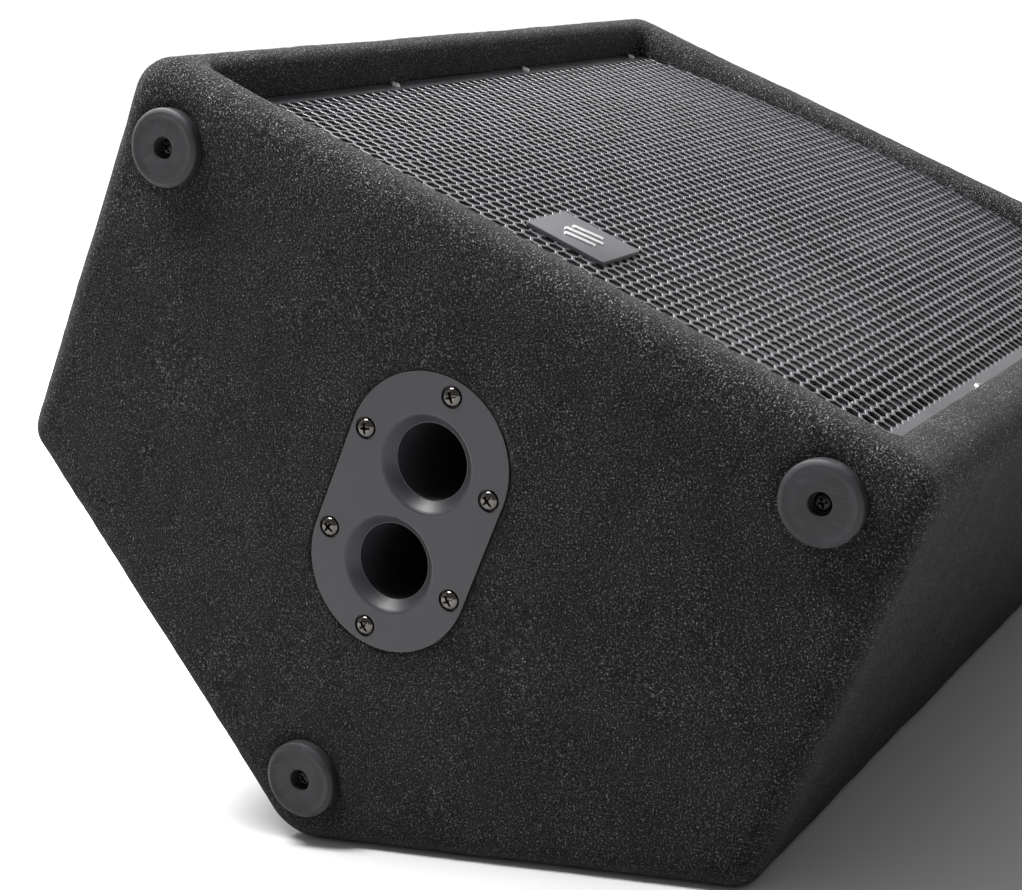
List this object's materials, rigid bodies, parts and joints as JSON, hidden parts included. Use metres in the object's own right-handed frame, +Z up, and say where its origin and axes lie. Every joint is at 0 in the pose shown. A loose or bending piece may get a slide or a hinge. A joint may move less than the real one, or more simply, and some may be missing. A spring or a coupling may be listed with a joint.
{
  "type": "stage monitor wedge",
  "caption": "Carpeted wedge-shaped stage monitor loudspeaker with a perforated steel grille, rubber end feet and a double pole socket.",
  "frame": {"origin": "centre of the sloping back face that rests on the floor, on the floor plane", "axes": "+Z up, -Y towards the performer in front, +X along the cabinet away from the side with the pole socket and feet"},
  "size_m": [0.5597, 0.4679, 0.384],
  "materials": {
    "plywood": "raw birch plywood",
    "carpet": "charcoal black needle-felt cabinet carpet with light speckle",
    "grille_steel": "black powder coat on perforated steel",
    "badge_metal": "satin grey plate",
    "socket_plastic": "dark warm grey moulded plastic",
    "black_plastic": "black moulded plastic",
    "screw_steel": "black nickel screws",
    "zinc_steel": "bright zinc plate",
    "foot_rubber": "worn grey rubber",
    "black_rubber": "black rubber and foam",
    "ferrite": "dark grey ferrite",
    "paper_cone": "coated black paper",
    "copper": "enamelled copper winding",
    "spider_cloth": "resin-treated cotton",
    "titanium": "thin metal dome",
    "board_green": "circuit board",
    "film_yellow": "yellow film capacitors",
    "resistor_white": "white cement",
    "foam_grey": "polyester damping felt",
    "wire_red": "insulated wire"
  },
  "bodies": {
    "cabinet": {"side_panel_left": "plywood", "side_panel_right": "plywood", "floor_panel": "plywood", "rear_lower_panel": "plywood", "rear_upper_panel": "plywood", "toe_panel": "plywood", "front_baffle": "plywood", "baffle_cleats": "plywood", "grille_battens": "black_rubber", "carpet_side_left": "carpet", "carpet_side_right": "carpet", "carpet_floor": "carpet", "carpet_rear_lower": "carpet", "carpet_rear_upper": "carpet", "carpet_toe": "carpet", "carpet_rim": "carpet", "grille": "grille_steel", "grille_screws": "zinc_steel", "badge": "badge_metal", "pole_socket": "socket_plastic", "pole_socket_screws": "screw_steel", "foot_toe": "foot_rubber", "foot_top": "foot_rubber", "foot_rear": "foot_rubber", "foot_screws": "screw_steel", "woofer_basket": "grille_steel", "woofer_gasket": "black_rubber", "woofer_surround": "black_rubber", "woofer_spider": "spider_cloth", "woofer_top_plate": "zinc_steel", "woofer_magnet": "ferrite", "woofer_back_plate": "zinc_steel", "woofer_terminals": "black_plastic", "woofer_screws": "screw_steel", "horn": "black_plastic", "horn_screws": "screw_steel", "driver_front_plate": "zinc_steel", "driver_magnet": "ferrite", "driver_rear_plate": "zinc_steel", "driver_surround": "black_rubber", "driver_cover": "grille_steel", "port_tubes": "black_plastic", "crossover_board": "board_green", "crossover_coils": "copper", "crossover_capacitors": "film_yellow", "crossover_resistor": "resistor_white", "crossover_screws": "zinc_steel", "damping_foam": "foam_grey", "internal_wires": "wire_red", "connector_plate": "black_plastic", "connector_screws": "screw_steel", "jack_sockets": "black_plastic", "jack_nuts": "zinc_steel", "handle_pocket": "black_plastic", "handle_screws": "screw_steel"},
    "woofer_moving": {"woofer_cone": "paper_cone", "woofer_dust_cap": "paper_cone", "woofer_voice_coil": "copper"},
    "driver_moving": {"driver_diaphragm": "titanium"}
  },
  "joints": [
    {"name": "woofer_travel", "type": "slide", "parent": "cabinet", "child": "woofer_moving", "axis": [0, -0.4772, 0.8788], "range_m": [-0.006, 0.006], "stiffness_N_per_m": 4000, "deforming": ["woofer_surround", "woofer_spider"]},
    {"name": "driver_travel", "type": "slide", "parent": "cabinet", "child": "driver_moving", "axis": [0, -0.4772, 0.8788], "range_m": [-0.0004, 0.0004], "stiffness_N_per_m": 6000, "deforming": ["driver_surround"]}
  ]
}
